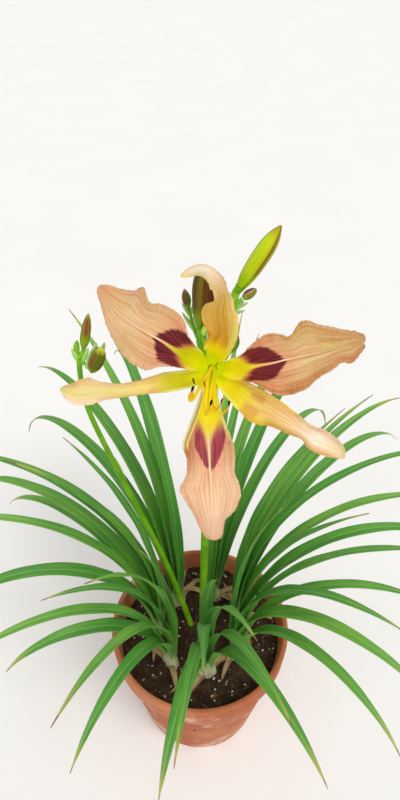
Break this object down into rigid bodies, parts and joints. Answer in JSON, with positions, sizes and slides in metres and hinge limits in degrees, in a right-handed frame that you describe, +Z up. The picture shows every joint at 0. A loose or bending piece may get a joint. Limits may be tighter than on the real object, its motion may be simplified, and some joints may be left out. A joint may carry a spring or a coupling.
{
  "type": "daylily plant",
  "caption": "Flowering daylily in a plain clay pot: arching strap leaves in fans, an upright scape with an open spidery bloom and buds, and a side scape in bud.",
  "frame": {"origin": "centre of the pot's underside, on the ground", "axes": "+Z up; -Y is the side that the open flower faces; +X to its right as seen from there"},
  "size_m": [0.6569, 0.6415, 0.8075],
  "materials": {
    "pot_clay": "matte",
    "potting_mix": "matte",
    "leaves": "satin",
    "scape": "satin",
    "buds": "satin",
    "tepals": "satin",
    "stamens": "satin",
    "pistil": "satin"
  },
  "bodies": {
    "root": {"pot": "pot_clay", "soil": "potting_mix", "leaf_fan_1": "leaves", "leaf_fan_2": "leaves", "leaf_fan_3": "leaves", "leaf_fan_4": "leaves", "leaf_fan_5": "leaves", "leaf_fan_6": "leaves", "leaf_fan_7": "leaves", "scape_main": "scape", "scape_side": "scape", "bud_large": "buds", "bud_tall": "buds", "bud_small_left": "buds", "bud_small_right": "buds", "bud_small_low": "buds", "bud_small_round": "buds", "side_bud_upright": "buds", "side_bud_broad": "buds", "bloom_perianth": "tepals", "bloom_stamens": "stamens", "bloom_pistil": "pistil"}
  },
  "joints": []
}
